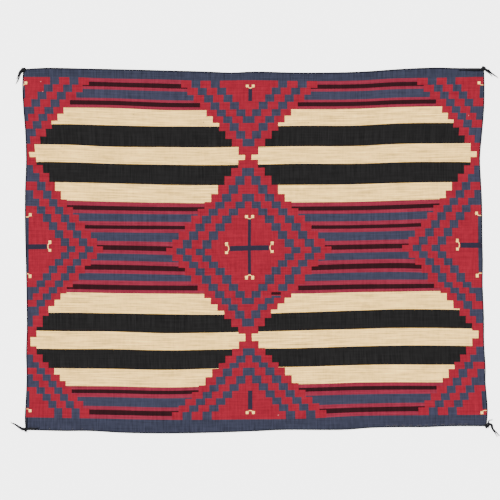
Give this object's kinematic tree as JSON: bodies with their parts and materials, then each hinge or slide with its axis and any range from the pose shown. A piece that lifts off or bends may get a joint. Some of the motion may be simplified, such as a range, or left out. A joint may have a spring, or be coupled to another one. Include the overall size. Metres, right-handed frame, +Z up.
{
  "type": "chief blanket",
  "caption": "Flat handwoven wool blanket with a stepped-diamond and stripe design, a twined cord along each edge and knotted corner tassels.",
  "frame": {"origin": "middle of the centre diamond, on the underside of the web, which lies on the surface", "axes": "+X along the stripes to the right edge, +Y towards the top edge, +Z up out of the face"},
  "size_m": [1.9437, 1.4761, 0.009],
  "materials": {
    "web_wool": "matte ribbed wool tapestry, patterned in red, blue, black and cream",
    "cord_wool": "matte plied wool cord, dark blue",
    "tassel_wool": "matte knotted wool cord ends, near black"
  },
  "bodies": {
    "root": {"blanket_web": "web_wool", "edge_cord_top": "cord_wool", "edge_cord_bottom": "cord_wool", "edge_cord_left": "cord_wool", "edge_cord_right": "cord_wool", "tassel_top_left": "tassel_wool", "tassel_top_right": "tassel_wool", "tassel_bottom_left": "tassel_wool", "tassel_bottom_right": "tassel_wool"}
  },
  "joints": []
}
